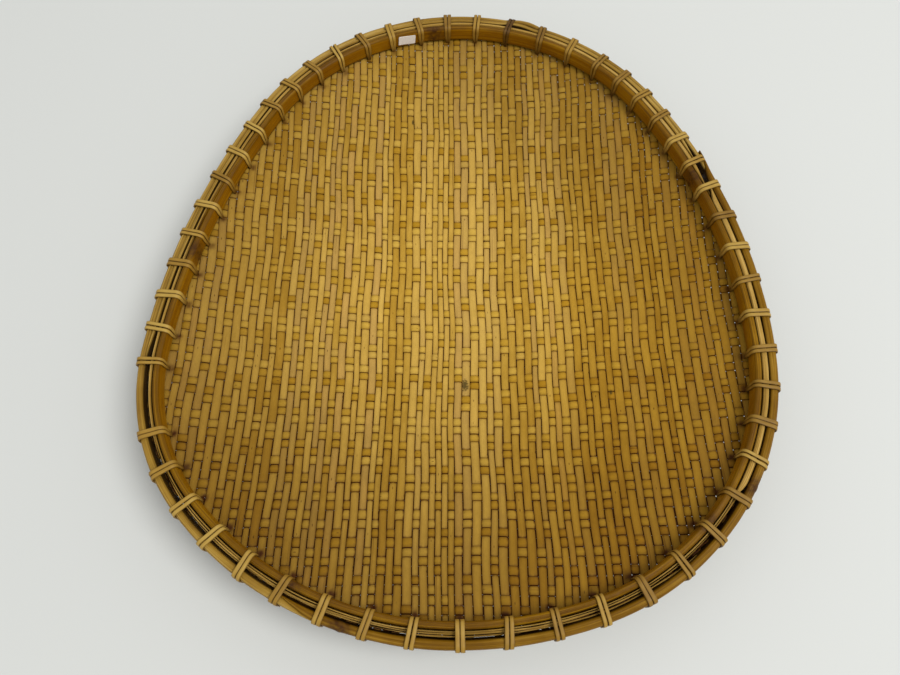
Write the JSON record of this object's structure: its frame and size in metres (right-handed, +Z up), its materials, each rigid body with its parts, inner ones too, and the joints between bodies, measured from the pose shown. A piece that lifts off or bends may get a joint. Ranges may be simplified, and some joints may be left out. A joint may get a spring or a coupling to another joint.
{
  "type": "winnowing basket",
  "caption": "Shallow egg-shaped winnowing tray of twilled bamboo strips, held between bent bamboo hoops and bound round the rim with cane, for tossing grain to clean it.",
  "frame": {"origin": "middle of the footprint, on the surface that the basket's belly rests on", "axes": "+Z up out of the tray's mouth, +Y towards the narrow end, +X to the right with the broad end nearest"},
  "size_m": [0.406, 0.4624, 0.0472],
  "materials": {
    "woven_bamboo": "dull, hand split bamboo strips",
    "inner_bamboo": "satin bamboo skin",
    "outer_bamboo": "satin, worn bamboo",
    "filler_splint": "dull split cane",
    "cane_lashing": "satin flat cane",
    "paper": "matt paper"
  },
  "bodies": {
    "root": {"woven_mat": "woven_bamboo", "inner_hoop": "inner_bamboo", "outer_hoop_near": "outer_bamboo", "outer_hoop_far": "outer_bamboo", "filler_splints_near": "filler_splint", "filler_splints_far": "filler_splint", "paper_label": "paper", "lashing_01": "cane_lashing", "lashing_02": "cane_lashing", "lashing_03": "cane_lashing", "lashing_04": "cane_lashing", "lashing_05": "cane_lashing", "lashing_06": "cane_lashing", "lashing_07": "cane_lashing", "lashing_08": "cane_lashing", "lashing_09": "cane_lashing", "lashing_10": "cane_lashing", "lashing_11": "cane_lashing", "lashing_12": "cane_lashing", "lashing_13": "cane_lashing", "lashing_14": "cane_lashing", "lashing_15": "cane_lashing", "lashing_16": "cane_lashing", "lashing_17": "cane_lashing", "lashing_18": "cane_lashing", "lashing_19": "cane_lashing", "lashing_20": "cane_lashing", "lashing_21": "cane_lashing", "lashing_22": "cane_lashing", "lashing_23": "cane_lashing", "lashing_24": "cane_lashing", "lashing_25": "cane_lashing", "lashing_26": "cane_lashing", "lashing_27": "cane_lashing", "lashing_28": "cane_lashing", "lashing_29": "cane_lashing", "lashing_30": "cane_lashing", "lashing_31": "cane_lashing", "lashing_32": "cane_lashing", "lashing_33": "cane_lashing", "lashing_34": "cane_lashing", "lashing_35": "cane_lashing", "lashing_36": "cane_lashing", "lashing_37": "cane_lashing", "lashing_38": "cane_lashing", "lashing_39": "cane_lashing", "lashing_40": "cane_lashing", "lashing_41": "cane_lashing", "lashing_42": "cane_lashing", "lashing_43": "cane_lashing", "lashing_44": "cane_lashing", "lashing_45": "cane_lashing", "lashing_46": "cane_lashing", "lashing_47": "cane_lashing", "lashing_48": "cane_lashing", "lashing_49": "cane_lashing", "lashing_50": "cane_lashing", "lashing_51": "cane_lashing", "lashing_52": "cane_lashing", "lashing_53": "cane_lashing"}
  },
  "joints": []
}
